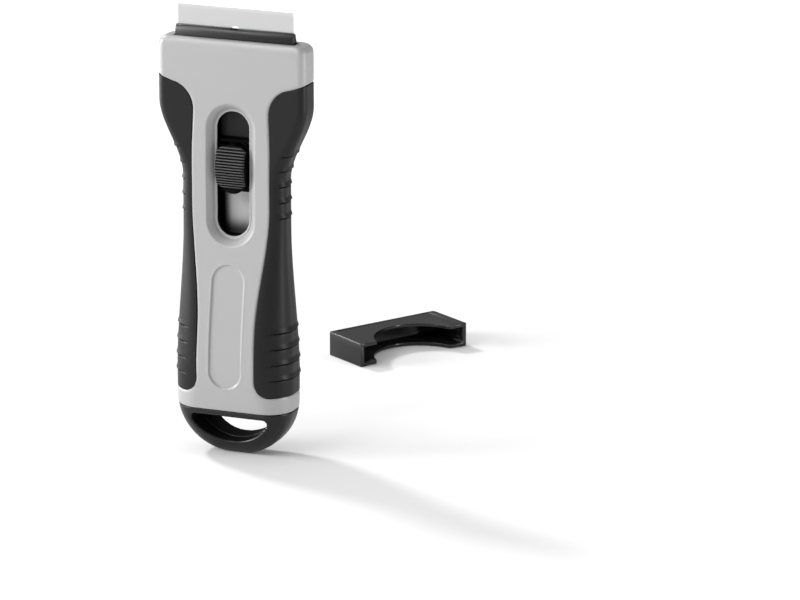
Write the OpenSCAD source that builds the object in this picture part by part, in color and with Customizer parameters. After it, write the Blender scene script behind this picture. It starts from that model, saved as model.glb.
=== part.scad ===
/* [Housing outline] */
// Height of the housing from the foot to the mouth
housing_h = 134; // [128:1:142]
// Width of the head
head_w = 50; // [48:0.5:54]
// Width of the waist behind the thumb slot
waist_w = 35; // [34:0.2:38]
// Width of the lower handle
base_w = 39.3; // [38:0.2:44]
// Thickness of the head
head_t = 9.8; // [9.4:0.1:11]
// Thickness at the waist
waist_t = 10.9; // [10.5:0.1:12]
// Thickness of the lower handle
base_t = 22.8; // [21:0.2:25]
// Height over which the end dome rounds in, seen from the front
dome_h = 18; // [16:0.5:22]
// Height over which the end dome rounds in, seen from the side
dome_side_h = 32; // [28:0.5:36]
// Drop from the mouth to the start of the shoulders
shoulder_drop = 20; // [18:0.5:23]
// Height of the shoulders
shoulder_h = 24; // [21:0.5:27]
// Bevel around the mouth, seen from the side
mouth_bevel = 1.3; // [0.8:0.1:1.6]

/* [Shells and grips] */
// Height of the seam between the shells and the end cap
seam_z = 15.6; // [14:0.2:17]
// Wall of the shells
shell_wall = 1.8; // [1.6:0.1:2.2]
// Thickness of the soft grips
grip_t = 1.4; // [1:0.1:1.6]
// Half width of the front panel beside the lower grips
panel_half_low = 9.7; // [9:0.1:11]
// Half width of the front panel beside the upper grips
panel_half_high = 13.2; // [12.5:0.1:14]
// Radius where the grips turn into the head
grip_top_r = 8.8; // [7:0.2:10]
// Radius of the lower grip ends
grip_end_r = 5.3; // [4:0.1:6.5]
// How far a grip rib stands out at the side
rib_out = 0.45; // [0.3:0.05:0.6]
// Height of one grip rib
rib_h = 0.8; // [0.6:0.1:1.2]
// Spacing of the grip ribs
rib_pitch = 5.05; // [4.6:0.05:5.4]
// Depth of the bare oval panel in the lower front
panel_depth = 0.45; // [0.3:0.05:0.6]
// Width of the bare oval panel
panel_w = 10.7; // [9:0.1:12]
// Length of the bare oval panel
panel_l = 39.5; // [34:0.5:42]

/* [Blade and carrier] */
// Length of the cutting edge
blade_w = 39; // [38:0.2:40]
// Height of the blade from its back to its edge
blade_h = 19; // [18:0.2:20]
// Thickness of the blade
blade_t = 0.24; // [0.2:0.02:0.3]
// How far the blade stands out of its jaws
blade_out = 6.4; // [5.5:0.1:7]
// How far the jaws stand out of the mouth
jaw_out = 3.4; // [2.8:0.1:4]
// Thickness of each jaw at the mouth
jaw_t = 1.55; // [1.4:0.05:1.65]
// Travel of the carrier when the blade is drawn in
draw_in = 13.5; // [13:0.1:13.8]
// Travel of the carrier on to the blade change position
push_out = 8.5; // [8:0.1:8.8]

/* [Thumb button] */
// Drop from the mouth to the middle of the button
button_drop = 39.6; // [38:0.1:41]
// Width of the thumb slot
slot_w = 10.9; // [10.7:0.1:11.4]
// Width of the dished rim around the slot
dish_w = 2.75; // [2.4:0.05:3]
// Width of the button pad
pad_w = 10; // [9.6:0.1:10.4]
// Length of the button pad
pad_l = 13.6; // [13:0.1:14.4]
// Drop of the pad's crown from its middle to its ends
crown_drop = 2.3; // [1.5:0.1:2.5]
// Number of thumb ridges
ridges = 15; // [11:1:17]
// Depth of the grooves between the ridges
ridge_depth = 0.5; // [0.3:0.05:0.6]
// Travel of the button when it is pressed
press_travel = 1; // [0.8:0.1:1]

/* [End cap] */
// Radius of the hanging hole's lower arc
hole_arc_r = 15; // [14:0.2:16]
// Radius of the hanging hole's upper corners
hole_corner_r = 1; // [0.8:0.1:1.5]
// Wall of the end cap under the hanging hole
hole_wall = 5; // [4.5:0.1:5.6]
// Wall of the end cap over the hanging hole
hole_bridge = 2.4; // [2.2:0.1:2.8]

/* [Blade guard] */
// Length of the guard
guard_l = 43.9; // [43:0.1:46]
// Depth of the guard
guard_w = 18.7; // [17.5:0.1:20]
// Height of the guard
guard_h = 8.1; // [7.6:0.1:9]
// Wall of the guard
guard_wall = 1.3; // [1.1:0.1:1.5]
// Place of the guard on the table, right of the foot
guard_right = 5.6; // [-20:0.2:60]
// Place of the guard on the table, behind the foot
guard_back = 123.2; // [60:0.2:160]
// Turn of the guard on the table, in degrees
guard_turn = 57.5; // [40:0.5:75]

/* [Hidden] */
$fn = 48;

// Clearances: sliding, running round, and between fixed pieces that seat
slide_gap = 0.2;
side_gap = 0.3;
seat_gap = 0.1;
hole_gap = 0.05;
over = 1;

// Levels of the housing
mouth_z = housing_h;
shoulder_hi = mouth_z - shoulder_drop;
shoulder_lo = shoulder_hi - shoulder_h;
swell_lo = 26;
swell_hi = 74;
belly_lo = 27;
belly_hi = 81;
panel_swell_lo = 42;
panel_swell_hi = 82;
panel_draw_in = 0.5;
foot_cut = 0.4;
bevel_h = 4.4;
corner_h = 2.6;
corner_in = 2.6;
head_side_flat = 2.4;
side_flat = 1.2;

// Blade, jaws and carrier, at rest with the blade out in its working place
jaw_top = mouth_z + jaw_out;
edge_z = jaw_top + blade_out;
blade_back_z = edge_z - blade_h;
jaw_half = blade_w / 2 + 0.4;
jaw_foot_z = blade_back_z - 4.2;
block_foot_z = jaw_foot_z - 4.5;
jaw_waist = jaw_half - 4.5;
back_jaw_drop = 0.4;
peg_r = 1.3;
blade_slot_w = 2 * peg_r + 0.2;
blade_slot_top = edge_z - 5.7;
blade_slot_l = 5.8;
peg_z = blade_slot_top - blade_slot_l + blade_slot_w / 2;
notch_w = 2.6;
notch_h = 3;
rider_half = peg_r - 0.1;
rider_top = jaw_top - 0.15;
lug_x = blade_w / 2 - notch_w / 2 + 0.1;

// Thumb slot, from the button's place and its travel
button_z = mouth_z - button_drop;
stem_half_w = 4.6;
stem_lo = button_z - 9.4;
stem_hi = button_z + 6.4;
slot_room = 1.2;
stop_gap = 0.2;
slot_lo = stem_lo - draw_in - stop_gap;
slot_hi = stem_hi + push_out + slot_w / 2 - stem_half_w + slot_room;
slot_mid = (slot_lo + slot_hi) / 2;
slot_l = slot_hi - slot_lo;
inner_y = 1.75;
lip_y = 3;
lip_w = 0.35;
dish_y = waist_t / 2;
pad_z = button_z - 0.8;
pad_y = 6.6;
pad_under_y = 3.6;
pad_end_r = pad_l / 2 + 0.6;
flange_half_w = 6.4;
flange_t = 0.85;
flange_lo = stem_lo + 1.6;
flange_hi = stem_hi - 0.6;
stem_back_y = -inner_y + slide_gap + flange_t;

// Room inside the housing
tray_half_w = 8.9;
tray_back_y = 3.05;
tray_floor_y = 1.9;
tray_lo = stem_lo - 0.1;
tray_hi = stem_hi + 1.2;
tray_end_wall = 0.9;
web_y = 0.8;
web_rail = 1.5;
channel_half_w = tray_half_w + side_gap;
channel_back_y = tray_back_y + slide_gap;
channel_lo = tray_lo - draw_in - 0.8;
channel_hi = tray_hi + push_out + slot_room + 0.8;
pocket_gap = 0.7;
pocket_y = jaw_t + blade_t / 2 + 0.3;
pocket_lo = block_foot_z - draw_in - 0.7;

// Lock: lugs of the spring in notches of the front shell
lug_in = 6.9;
lug_out = 8.3;
lug_h = 1.8;
lug_z = button_z + 1.6;
lug_y = 2.3;
leaf_t = 0.3;
notch_y = lug_y + 0.15;

// Fastenings
screw_r = 1.45;
screw_head_r = 2.4;
screw_head_t = 1.8;
sink_depth = 3;
boss_r = 3;
post_r = 1.3;
head_post_r = 0.9;
post_l = 1.9;
post_drop = 15;
post_rise = 5;
head_post_drop = 8.5;
cross_l = 2.6;
cross_w = 0.6;
cross_depth = 0.9;
post_x = (channel_half_w + waist_w / 2 - grip_t) / 2;
head_post_x = (jaw_half + pocket_gap + head_w / 2) / 2;
post_places = [for (s = [-1, 1]) each [
    [s * post_x, shoulder_lo - post_drop, post_r],
    [s * post_x, shoulder_lo + post_rise, post_r],
    [s * head_post_x, mouth_z - head_post_drop, head_post_r]]];
jaw_pins = [[-11, blade_back_z - 2.3], [11, blade_back_z - 2.3]];
jaw_pin_r = 1.2;

// Hollow of the lower handle and the tongue of the end cap
hollow_lo = seam_z + 2.8;
hollow_hi = channel_lo - 3;
screw_places = [[-7.4, hollow_hi - 9.5], [7.4, hollow_hi - 9.5], [0, hollow_lo + 12.5]];
tongue_w = 17;
tongue_t = 8;
tongue_flange = 2;
tongue_top = hollow_lo + seat_gap + 2;

// Colours
shell_grey = [0.75, 0.75, 0.76];
grip_grey = [0.18, 0.18, 0.19];
black = [0.06, 0.06, 0.06];
steel = [0.78, 0.79, 0.8];

// Smooth step from 0 at a to 1 at b
function ease(a, b, t) = let (s = max(0, min(1, (t - a) / (b - a)))) s * s * (3 - 2 * s);

// Share of the full size that is left in the end dome
function dome(h, z) = z < h ? sqrt(1 - pow((h - z) / (h + foot_cut), 2)) : 1;

// How far the outline is drawn in at the mouth's rounded corners
function round_in(z, h, most) = z > mouth_z - h
    ? most * (1 - sqrt(max(0, 1 - pow((z - mouth_z + h) / h, 2))))
    : 0;

// Half width, half thickness and corner radius of the housing at a height
function half_w(z) = dome(dome_h, z) * (base_w / 2
    + (waist_w - base_w) / 2 * ease(swell_lo, swell_hi, z)
    + (head_w - waist_w) / 2 * ease(shoulder_lo, shoulder_hi, z)) - round_in(z, corner_h, corner_in);
function half_t(z) = dome(dome_side_h, z) * (base_t / 2
    + (waist_t - base_t) / 2 * ease(belly_lo, belly_hi, z)
    + (head_t - waist_t) / 2 * ease(shoulder_lo, shoulder_hi, z)) - round_in(z, bevel_h, mouth_bevel);
function flat_half(z) = side_flat + (head_side_flat - side_flat) * ease(shoulder_lo, shoulder_hi, z);
function corner_r(z) = min(max(half_t(z) - flat_half(z), 0.5 * half_t(z)), 0.9 * half_w(z));

// One closed ring of points round the housing, drawn in by inset
function ring(z, inset, wider, n) = let (
    r = max(corner_r(z) - inset, 0.4),
    w = half_w(z) - inset,
    t = half_t(z) - inset
) [for (q = [0:3], i = [0:n]) let (
    a = 90 * (q + i / n),
    sx = q == 0 || q == 3 ? 1 : -1,
    sy = q < 2 ? 1 : -1
) [(sx * (w - r) + r * cos(a)) * (w + wider) / w, sy * (t - r) + r * sin(a), z]];

// Solid skinned over a stack of rings
module skin(rings) {
    m = len(rings[0]);
    top = len(rings) - 1;
    sides = [for (k = [0:top - 1], i = [0:m - 1]) let (a = k * m + i, b = k * m + (i + 1) % m)
        each [[a, a + m, b], [b, a + m, b + m]]];
    caps = [[for (i = [0:m - 1]) i], [for (i = [m - 1:-1:0]) top * m + i]];
    polyhedron([for (r = rings) each r], concat(sides, caps), 4);
}
module loft(levels, inset = 0, n = 5) {
    skin([for (z = levels) ring(z, inset, 0, n)]);
}

// Evenly spaced levels
function levels(lo, hi, steps) = [for (i = [0:steps]) lo + (hi - lo) * i / steps];

// Shapes drawn in X and Z and extruded along Y, or drawn in Y and Z and extruded along X
module along_y(from, to) {
    translate([0, to, 0]) rotate([90, 0, 0]) linear_extrude(to - from) children();
}
module along_x(from, to) {
    translate([from, 0, 0]) rotate([90, 0, 90]) linear_extrude(to - from) children();
}

// Box between two corners
module block(lo, hi) {
    translate(lo) cube(hi - lo);
}

// Straight round bar along Y
module bar_y(x, z, r, from, to) {
    translate([x, from, z]) rotate([-90, 0, 0]) cylinder(r = r, h = to - from);
}

// Upright outline with round ends
module stadium(w, l) {
    square([w, l - w], center = true);
    for (s = [-1, 1]) translate([0, s * (l - w) / 2]) circle(d = w);
}

// Whole outside of the housing above the seam
module housing_outside() {
    loft(concat(levels(seam_z, mouth_z - bevel_h, 24),
        [for (i = [1:4]) mouth_z - bevel_h + bevel_h * sin(22.5 * i)]));
}

// Outline of one soft grip, seen from the front, on the right
function grip_edge(z) = panel_half_low + (panel_half_high - panel_half_low) * ease(panel_swell_lo, panel_swell_hi, z)
    - panel_draw_in * ease(shoulder_lo + 8, shoulder_hi - 2, z);
grip_lo = seam_z + 5.4;
grip_arc_z = shoulder_hi - 2.5;
grip_out = head_w / 2 + 4;
function grip_outline() = let (x0 = grip_edge(grip_arc_z), x1 = grip_edge(grip_lo + grip_end_r)) concat(
    [for (i = [0:6]) [x1 + grip_end_r * (1 - cos(15 * i)), grip_lo + grip_end_r * (1 - sin(15 * i))]],
    [[grip_out, grip_lo], [grip_out, grip_arc_z + grip_top_r + 2.9]],
    [for (a = [80:-10:0]) [x0 + grip_top_r * (1 - cos(a)), grip_arc_z + grip_top_r * sin(a)]],
    [for (z = [grip_arc_z - 6:-6:grip_lo + grip_end_r + 3]) [grip_edge(z), z]]);

// Space that a grip takes out of the shells, with side 1 for the right and -1 for the left
module grip_zone(side) {
    scale([side, 1, 1]) along_y(-base_t, base_t) polygon(grip_outline());
}
module under_grips() {
    loft(levels(grip_lo - 2, grip_arc_z + grip_top_r + 6, 16), grip_t, 4);
}

// Ribs round the grips: five at the waist, four on the lower handle
upper_ribs_up = 9.2;
lower_ribs_up = 21.5;
rib_levels = concat(
    [for (i = [0:4]) shoulder_lo + upper_ribs_up - rib_pitch * i],
    [for (i = [0:3]) grip_lo + lower_ribs_up - rib_pitch * i]);
module rib(z) {
    skin([ring(z - rib_h / 2, 0, rib_out, 4), ring(z + rib_h, 0, 0, 4)]);
}
module grip(side) {
    color(grip_grey) difference() {
        intersection() {
            grip_zone(side);
            union() {
                housing_outside();
                for (z = rib_levels) rib(z);
            }
        }
        under_grips();
    }
}
module grip_left() {
    grip(-1);
}
module grip_right() {
    grip(1);
}

// Outline of the jaws with their tapered shoulders, seen from the front
function jaw_outline(top, gap, drop) = [
    [-jaw_waist - gap, block_foot_z - drop],
    [jaw_waist + gap, block_foot_z - drop],
    [jaw_half + gap, jaw_foot_z + 3 - drop],
    [jaw_half + gap, top],
    [-jaw_half - gap, top],
    [-jaw_half - gap, jaw_foot_z + 3 - drop]];

// Rooms inside both shells: the jaws' pocket, the tray's channel and the hollow handle
module rooms() {
    along_y(-pocket_y, pocket_y) polygon(jaw_outline(mouth_z + over, pocket_gap, draw_in + pocket_gap));
    block([-channel_half_w, -inner_y, channel_lo], [channel_half_w, channel_back_y, channel_hi]);
    difference() {
        loft(levels(hollow_lo, hollow_hi, 9), grip_t + shell_wall, 3);
        for (p = screw_places) bar_y(p[0], p[1], boss_r, -base_t, base_t);
    }
    block([-tongue_w / 2 - seat_gap, -tongue_t / 2 - seat_gap, seam_z - over],
        [tongue_w / 2 + seat_gap, tongue_t / 2 + seat_gap, hollow_lo + over]);
}

// Outside of the shells with the grips' room taken out
module shell_body() {
    difference() {
        housing_outside();
        difference() {
            for (side = [-1, 1]) grip_zone(side);
            under_grips();
        }
        rooms();
    }
}

// Thumb slot with its dished rim
function dish_profile() = [
    [0, lip_y],
    [slot_w / 2 + lip_w, lip_y],
    [slot_w / 2 + lip_w + 0.5, lip_y + 0.95],
    [slot_w / 2 + 0.62 * dish_w, lip_y + 1.6],
    [slot_w / 2 + dish_w, dish_y],
    [slot_w / 2 + dish_w + 0.5, dish_y + 2],
    [0, dish_y + 2]];
module dish_end() {
    rotate([90, 0, 0]) rotate_extrude() polygon(dish_profile());
}
module thumb_slot() {
    run = (slot_l - slot_w) / 2;
    translate([0, 0, slot_mid]) {
        along_y(-base_t, 0) stadium(slot_w, slot_l);
        for (s = [-1, 1]) translate([0, 0, s * run]) dish_end();
        for (s = [-1, 1]) translate([0, 0, -run]) scale([s, 1, 1])
            linear_extrude(2 * run) polygon([for (p = dish_profile()) [p[0], -p[1]]]);
    }
}

// Shallow oval panel in the lower front, left bare
panel_lo = grip_lo + 2.3;
panel_len = min(panel_l, slot_lo - dish_w - 3 - panel_lo);
module oval_panel() {
    difference() {
        translate([0, 0, panel_lo + panel_len / 2]) along_y(-base_t, -2) stadium(panel_w, panel_len);
        loft(levels(seam_z, slot_lo, 12), panel_depth, 3);
    }
}

module front_shell() {
    color(shell_grey) difference() {
        intersection() {
            shell_body();
            block([-head_w, -base_t, 0], [head_w, 0, mouth_z + over]);
        }
        thumb_slot();
        oval_panel();
        for (shift = [-draw_in, 0, push_out], s = [-1, 1])
            translate([s * (lug_in + lug_out) / 2, -notch_y / 2, lug_z + shift])
                cube([lug_out - lug_in + 0.4, notch_y, lug_h + 0.4], center = true);
        for (p = screw_places) bar_y(p[0], p[1], screw_r + hole_gap, -half_t(p[1]) + shell_wall, over);
        for (p = post_places) bar_y(p[0], p[1], p[2] + hole_gap, -post_l - 0.2, over);
    }
}

module back_shell() {
    color(shell_grey) union() {
        difference() {
            intersection() {
                shell_body();
                block([-head_w, 0, 0], [head_w, base_t, mouth_z + over]);
            }
            for (p = screw_places) {
                bar_y(p[0], p[1], screw_r + hole_gap, -over, base_t);
                bar_y(p[0], p[1], screw_head_r + 0.3, half_t(p[1]) - sink_depth, base_t);
            }
        }
        for (p = post_places) bar_y(p[0], p[1], p[2], -post_l, 0.2);
    }
}

// Self-tapping screws, put in from the back
module housing_screws() {
    color(steel) for (p = screw_places) {
        seat_y = half_t(p[1]) - sink_depth;
        difference() {
            bar_y(p[0], p[1], screw_head_r, seat_y, seat_y + screw_head_t);
            for (turn = [0, 90]) translate([p[0], seat_y + screw_head_t, p[1]]) rotate([0, turn, 0])
                cube([cross_l, 2 * cross_depth, cross_w], center = true);
        }
        bar_y(p[0], p[1], screw_r, -half_t(p[1]) + shell_wall + 1, seat_y + 0.4);
    }
}

// Outline of the hanging hole: an arc below, a straight edge above and rounded corners
hole_top_z = seam_z - seat_gap - hole_bridge;
module hole_shape(grow) {
    r = hole_arc_r + grow;
    arc_z = hole_wall + hole_arc_r;
    corner_z = hole_top_z - hole_corner_r;
    c = hole_corner_r + grow;
    corner_x = sqrt(pow(r - c, 2) - pow(arc_z - corner_z, 2));
    tangent_z = arc_z - (arc_z - corner_z) * r / (r - c);
    intersection() {
        translate([0, arc_z]) circle(r = r, $fn = 96);
        union() {
            translate([-r, 0]) square([2 * r, tangent_z]);
            translate([-corner_x, 0]) square([2 * corner_x, corner_z + c]);
        }
    }
    for (s = [-1, 1]) translate([s * corner_x, corner_z]) circle(r = c);
}

module end_cap() {
    color(black) difference() {
        union() {
            loft([for (i = [0:11]) (seam_z - seat_gap) * (1 - cos(90 * i / 11))]);
            block([-tongue_w / 2, -tongue_t / 2, seam_z - over], [tongue_w / 2, tongue_t / 2, tongue_top]);
            block([-tongue_w / 2 - tongue_flange, -tongue_t / 2 - tongue_flange / 2, hollow_lo + seat_gap],
                [tongue_w / 2 + tongue_flange, tongue_t / 2 + tongue_flange / 2, tongue_top]);
        }
        along_y(-base_t, base_t) hole_shape(0);
        along_y(-base_t, -1) hole_shape(0.35);
    }
}

// Carrier: back jaw, shoulder block and the tray that holds the button
module blade_carrier() {
    back = jaw_t + blade_t / 2;
    jaw_end_z = jaw_top - back_jaw_drop;
    color(black) difference() {
        union() {
            intersection() {
                along_x(-jaw_half, jaw_half) polygon([
                    [-back, block_foot_z],
                    [-back, jaw_foot_z],
                    [-blade_t / 2, jaw_foot_z],
                    [-blade_t / 2, blade_back_z - 0.1],
                    [blade_t / 2, blade_back_z - 0.1],
                    [blade_t / 2, jaw_end_z],
                    [blade_t / 2 + 0.5, jaw_end_z],
                    [back, mouth_z],
                    [back, block_foot_z]]);
                along_y(-over - back, back + over) polygon(jaw_outline(jaw_top, 0, 0));
            }
            block([-tray_half_w, -inner_y + slide_gap, tray_hi - over],
                [tray_half_w, back, block_foot_z + over]);
            block([-tray_half_w, -inner_y + slide_gap, tray_lo], [tray_half_w, tray_back_y, tray_hi]);
            bar_y(0, peg_z, peg_r, -1.1, 1);
            block([-rider_half, -blade_t / 2 + 0.02, peg_z], [rider_half, blade_t / 2 + 0.4, rider_top]);
            for (s = [-1, 1]) translate([s * lug_x, 0, blade_back_z + notch_h / 2 - 0.1])
                cube([notch_w - 0.2, 2 * blade_t, notch_h - 0.2], center = true);
        }
        block([-flange_half_w - 0.35, -base_t, tray_lo + tray_end_wall],
            [flange_half_w + 0.35, tray_floor_y, tray_hi - tray_end_wall]);
        block([-tray_half_w - over, -base_t, lug_z - lug_h / 2 - 0.5],
            [tray_half_w + over, stem_back_y + press_travel + 0.6, lug_z + lug_h / 2 + 0.5]);
        block([-stem_half_w - 0.3, -base_t, tray_lo - over],
            [stem_half_w + 0.3, stem_back_y + press_travel + 0.3, tray_lo + 2]);
        block([-tray_half_w + web_rail, -base_t, tray_hi],
            [tray_half_w - web_rail, web_y, block_foot_z - 1]);
        for (p = jaw_pins) bar_y(p[0], p[1], jaw_pin_r + hole_gap, -base_t, back - 0.3);
    }
}

// Front jaw with its rounded lip, the small notch over the blade's slot and two pins for the carrier
module jaw_cover() {
    front = jaw_t + blade_t / 2 + 0.05;
    lip = 0.45;
    inner = blade_t / 2;
    color(black) union() {
        difference() {
            intersection() {
                along_x(-jaw_half, jaw_half) polygon(concat(
                    [[-inner, jaw_foot_z + seat_gap], [-inner, jaw_top], [-inner - lip, jaw_top]],
                    [for (i = [1:5]) [
                        -inner - lip - (front - inner - lip) * sin(18 * i),
                        jaw_top - jaw_out * (1 - cos(18 * i))]],
                    [[-front, jaw_foot_z + seat_gap]]));
                along_y(-front - over, over) polygon(jaw_outline(jaw_top + over, 0, 0));
            }
            block([-peg_r, -front - over, jaw_top - 0.5], [peg_r, 0, jaw_top + over]);
            bar_y(0, peg_z, peg_r + hole_gap, -1.25, over);
            for (s = [-1, 1]) translate([s * lug_x, 0, blade_back_z + notch_h / 2 - 0.1])
                cube([notch_w, 2 * blade_t + 0.2, notch_h], center = true);
        }
        for (p = jaw_pins) bar_y(p[0], p[1], jaw_pin_r, -inner - 0.2, jaw_t + blade_t / 2 - 0.5);
    }
}

// Single-edge blade with a ground edge, a centre slot and notched back corners
module blade() {
    grind = 0.9;
    color(steel) difference() {
        along_x(-blade_w / 2, blade_w / 2) polygon([
            [-blade_t / 2, blade_back_z],
            [blade_t / 2, blade_back_z],
            [blade_t / 2, edge_z - grind],
            [0.01, edge_z],
            [-0.01, edge_z],
            [-blade_t / 2, edge_z - grind]]);
        translate([0, 0, blade_slot_top - blade_slot_l / 2]) along_y(-1, 1)
            stadium(blade_slot_w, blade_slot_l);
        for (s = [-1, 1]) translate([s * blade_w / 2, 0, blade_back_z])
            cube([2 * notch_w, 1, 2 * notch_h], center = true);
    }
}

// Leaf spring under the button, with two lugs that lock in the front shell's notches
module lock_spring() {
    foot_z = tray_lo + tray_end_wall + 1.2;
    leaf_y = tray_floor_y - leaf_t - 0.02;
    arm_y = stem_back_y + 0.1;
    run = lug_z - lug_h / 2 - foot_z - 2;
    color(steel) union() {
        block([-3, leaf_y, foot_z], [3, leaf_y + leaf_t, tray_hi - tray_end_wall - 0.6]);
        along_x(-3, 3) polygon([[leaf_y + leaf_t, foot_z], [leaf_y, foot_z],
            [arm_y, foot_z + run + 2], [arm_y + leaf_t, foot_z + run + 2]]);
        block([-3, arm_y, foot_z + run + 2 - 0.1], [3, arm_y + leaf_t, lug_z + lug_h / 2]);
        block([-lug_out, arm_y, lug_z - lug_h / 2], [lug_out, arm_y + leaf_t, lug_z + lug_h / 2]);
        for (s = [-1, 1]) scale([s, 1, 1])
            block([lug_in, -lug_y, lug_z - lug_h / 2], [lug_out, arm_y + leaf_t, lug_z + lug_h / 2]);
    }
}

// Crown of the button's pad, and its ridges as points across one pitch: share of the pitch and of the depth
function crown(z) = pad_y - crown_drop * pow((z - pad_z) / (pad_l / 2), 2);
pad_pitch = pad_l / ridges;
ridge_form = [[0.08, 1], [0.3, 0], [0.7, 0], [0.92, 1]];
function ridge_line() = [for (i = [0:ridges - 1], f = ridge_form)
    let (z = pad_z - pad_l / 2 + pad_pitch * (i + f[0]))
    [f[1] * ridge_depth - crown(z), z]];

module thumb_button() {
    stem_mid = (stem_lo + stem_hi) / 2;
    color(black) union() {
        intersection() {
            along_x(-pad_w / 2, pad_w / 2) polygon(concat(ridge_line(),
                [[-pad_under_y, pad_z + pad_l / 2], [-pad_under_y, pad_z - pad_l / 2]]));
            bar_y(0, pad_z, pad_end_r, -base_t, 0);
        }
        translate([0, 0, stem_mid]) along_y(-pad_under_y - 0.2, stem_back_y)
            stadium(2 * stem_half_w, stem_hi - stem_lo);
        block([-flange_half_w, -inner_y + slide_gap, flange_lo], [flange_half_w, stem_back_y, flange_hi]);
    }
}

// Cut-out of the guard: a large arc with its two ends eased into the front edge
guard_arc_out = 3.6;
guard_arc_r = 15.6;
guard_ease = 1.2;
module guard_cut() {
    front = -guard_w / 2;
    arc_v = front - guard_arc_out;
    reach = guard_arc_r + guard_ease;
    ease_x = sqrt(pow(reach, 2) - pow(guard_arc_out + guard_ease, 2));
    touch = [ease_x, guard_arc_out + guard_ease] * guard_arc_r / reach;
    translate([0, arc_v]) circle(r = guard_arc_r, $fn = 96);
    difference() {
        polygon([
            [-ease_x, front - over],
            [ease_x, front - over],
            [ease_x, front + guard_ease],
            [touch[0], arc_v + touch[1]],
            [-touch[0], arc_v + touch[1]],
            [-ease_x, front + guard_ease]]);
        for (s = [-1, 1]) translate([s * ease_x, front + guard_ease]) circle(r = guard_ease);
    }
}

// Hollow cap that clips over the jaws, lying on the table, with a shallow grip field on both faces
module blade_guard() {
    corner = 0.8;
    band = 2.6;
    field = 0.25;
    catch_front = 2.5;
    catch_back = 4;
    catch_h = 0.6;
    half_l = guard_l / 2;
    half_w = guard_w / 2;
    in_l = half_l - guard_wall;
    color(black) translate([guard_right, guard_back, 0]) rotate([0, 0, guard_turn]) {
        difference() {
            union() {
                block([-half_l + corner, -half_w, 0], [half_l - corner, half_w, guard_h]);
                block([-half_l, -half_w, 0], [half_l, half_w - corner, guard_h]);
                for (s = [-1, 1]) translate([s * (half_l - corner), half_w - corner, 0])
                    cylinder(r = corner, h = guard_h);
            }
            block([-in_l, -half_w - over, guard_wall], [in_l, half_w - guard_wall, guard_h - guard_wall]);
            translate([0, 0, -over]) linear_extrude(guard_h + 2 * over) guard_cut();
            for (z = [-over, guard_h - field]) translate([-half_l + band, -half_w - over, z])
                cube([guard_l - 2 * band, guard_w - 0.8 + over, over + field]);
        }
        for (s = [-1, 1], z = [guard_h * 0.36, guard_h * 0.64]) scale([s, 1, 1])
            block([in_l - 0.4, -half_w + catch_front, z - catch_h / 2],
                [in_l + 0.2, half_w - catch_back, z + catch_h / 2]);
    }
}

front_shell();
back_shell();
grip_left();
grip_right();
end_cap();
housing_screws();
blade_carrier();
jaw_cover();
blade();
lock_spring();
thumb_button();
blade_guard();
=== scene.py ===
"""Ceramic hob scraper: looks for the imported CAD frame, laid out as an add-on, run as a script."""
import math

import bmesh
import bpy
import numpy as np
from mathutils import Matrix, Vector


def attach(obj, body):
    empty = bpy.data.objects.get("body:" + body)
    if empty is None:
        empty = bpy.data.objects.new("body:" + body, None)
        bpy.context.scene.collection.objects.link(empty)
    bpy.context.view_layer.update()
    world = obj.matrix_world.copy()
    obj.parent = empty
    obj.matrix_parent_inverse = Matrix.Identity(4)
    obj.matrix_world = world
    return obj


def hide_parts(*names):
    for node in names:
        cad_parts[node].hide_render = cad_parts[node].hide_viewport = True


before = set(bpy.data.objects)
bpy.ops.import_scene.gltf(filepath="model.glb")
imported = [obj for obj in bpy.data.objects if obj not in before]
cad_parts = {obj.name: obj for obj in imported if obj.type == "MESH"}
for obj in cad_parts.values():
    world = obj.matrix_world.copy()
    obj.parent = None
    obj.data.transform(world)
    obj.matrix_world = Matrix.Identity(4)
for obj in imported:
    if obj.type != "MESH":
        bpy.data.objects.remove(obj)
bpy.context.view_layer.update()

bl_info = {
    "name": "Ceramic Hob Scraper",
    "version": (1, 0, 0),
    "blender": (4, 5, 0),
    "location": "View3D > Sidebar > Scraper",
    "description": "Builds the mouldings, grips, blade parts and stage of a hob scraper",
    "category": "Object",
}

MM = 0.001

# Lengths are in millimetres, except those of materials, lights and camera, which are in metres

# Housing
MOUTH_Z = 134.0
SEAM_Z, SEAM_ROUND = 15.6, 0.35
CAP_TOP, CAP_ROUND = 15.45, 0.3
END_INSET = 0.3
SHOULDER_LO, SHOULDER_HI = 90.0, 114.0
WAIST_W_LO, WAIST_W_HI = 26, 74
WAIST_T_LO, WAIST_T_HI = 27, 81
# Half width and half depth at the base, what they lose at the waist and gain or lose at the head
BASE_HALF_W, WAIST_LOSS_W, HEAD_GAIN_W = 19.65, 2.15, 7.5
BASE_HALF_T, WAIST_LOSS_T, HEAD_LOSS_T = 11.4, 5.95, 0.55
DOME_W, DOME_T = 18, 32
MOUTH_ROUND_W = 2.6
MOUTH_ROUND_T, MOUTH_DROP_T = 4.4, 1.3
FACE_Y = 2

# Thumb slot with its dished rim, and the bare panel
SLOT_HALF = 5.45
SLOT_LO, SLOT_HI = 71.3, 111.35
DISH_REACH = [0, 0.5, 0.72, 0.95, 1.35, 2.0, 2.5, 2.66, 2.8, 3.0]
DISH_DEPTH = [2.3, 2.3, 2.5, 2.0, 1.42, 0.74, 0.32, 0.18, 0.03, 0]
LIP_REACH, LIP_DROP = 0.35, 0.3
PANEL_HALF = 5.35
PANEL_LO, PANEL_HI = 23.3, 62.6
PANEL_DEPTH, PANEL_RIM = 0.45, 0.05

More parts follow.
